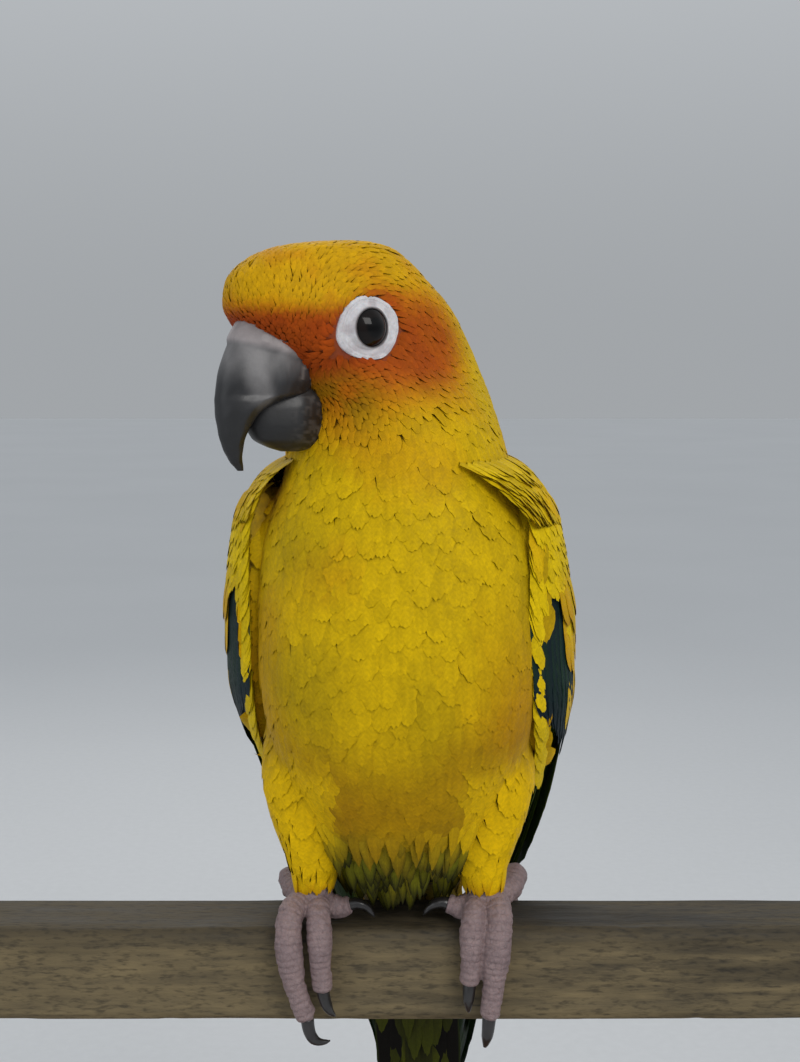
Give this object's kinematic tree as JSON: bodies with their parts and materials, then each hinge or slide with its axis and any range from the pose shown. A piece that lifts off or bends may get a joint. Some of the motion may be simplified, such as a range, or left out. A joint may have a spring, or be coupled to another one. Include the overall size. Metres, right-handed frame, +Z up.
{
  "type": "sun conure model on a display stand",
  "caption": "Life-size sun conure, wings folded and head turned, gripping a short square perch held by a flat base and rods.",
  "frame": {"origin": "the bottom centre of the stand's base, on the surface it rests on", "axes": "+Z up; -Y the way the perch's front face looks, towards the picture's viewer; +X along the perch, towards the bird's left side"},
  "size_m": [0.2, 0.124, 0.2636],
  "materials": {
    "plumage_face": "soft matte feathers, orange-red round the eye and yellow on the crown",
    "plumage_body": "soft matte yellow feathers with orange on the belly",
    "plumage_wing": "smooth feather vanes, yellow coverts and dark green flight feathers",
    "plumage_tail": "smooth dark olive feather vanes",
    "bill": "charcoal horn with a satin gloss",
    "eye": "wet dark gloss",
    "foot_skin": "wrinkled mauve-grey scaly skin",
    "claw": "dark polished horn",
    "perch_wood": "rough weathered wood",
    "base_wood": "satin stained wood",
    "rod_metal": "brushed steel"
  },
  "bodies": {
    "root": {"head": "plumage_face", "neck": "plumage_body", "torso": "plumage_body", "thigh_left": "plumage_body", "thigh_right": "plumage_body", "wing_left": "plumage_wing", "wing_right": "plumage_wing", "tail": "plumage_tail", "bill_upper": "bill", "bill_lower": "bill", "eye_left": "eye", "eye_right": "eye", "foot_left": "foot_skin", "foot_right": "foot_skin", "claw_left_1": "claw", "claw_left_2": "claw", "claw_left_3": "claw", "claw_left_4": "claw", "claw_right_1": "claw", "claw_right_2": "claw", "claw_right_3": "claw", "claw_right_4": "claw", "perch": "perch_wood", "stand_base": "base_wood", "stand_rod_left": "rod_metal", "stand_rod_right": "rod_metal"}
  },
  "joints": []
}
